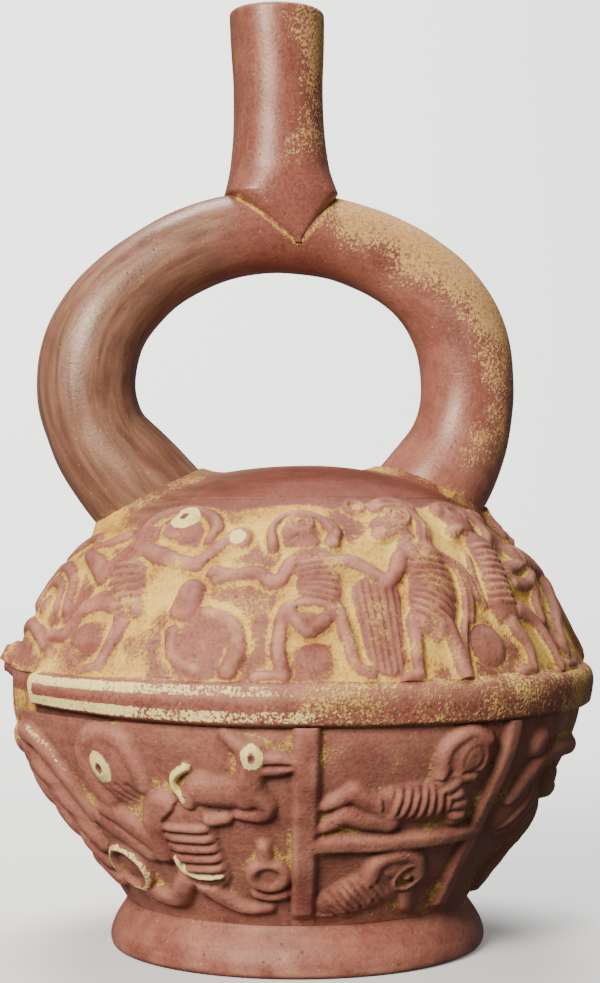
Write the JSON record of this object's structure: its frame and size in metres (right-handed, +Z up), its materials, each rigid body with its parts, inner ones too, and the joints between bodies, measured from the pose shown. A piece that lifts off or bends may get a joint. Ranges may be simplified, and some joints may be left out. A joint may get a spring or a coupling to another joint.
{
  "type": "stirrup spout vessel",
  "caption": "Hollow pottery bottle on a ring foot, its domed chamber worked with figures in low relief and topped by a looped stirrup handle that is also its spout.",
  "frame": {"origin": "centre of the foot's underside, on the surface that it stands on", "axes": "+Z up through the chamber, +X along the stirrup to the viewer's right, front faces -Y"},
  "size_m": [0.1784, 0.1774, 0.28],
  "materials": {
    "fired_clay": "burnished red-brown slip over buff clay, worn"
  },
  "bodies": {
    "root": {"vessel": "fired_clay"}
  },
  "joints": []
}
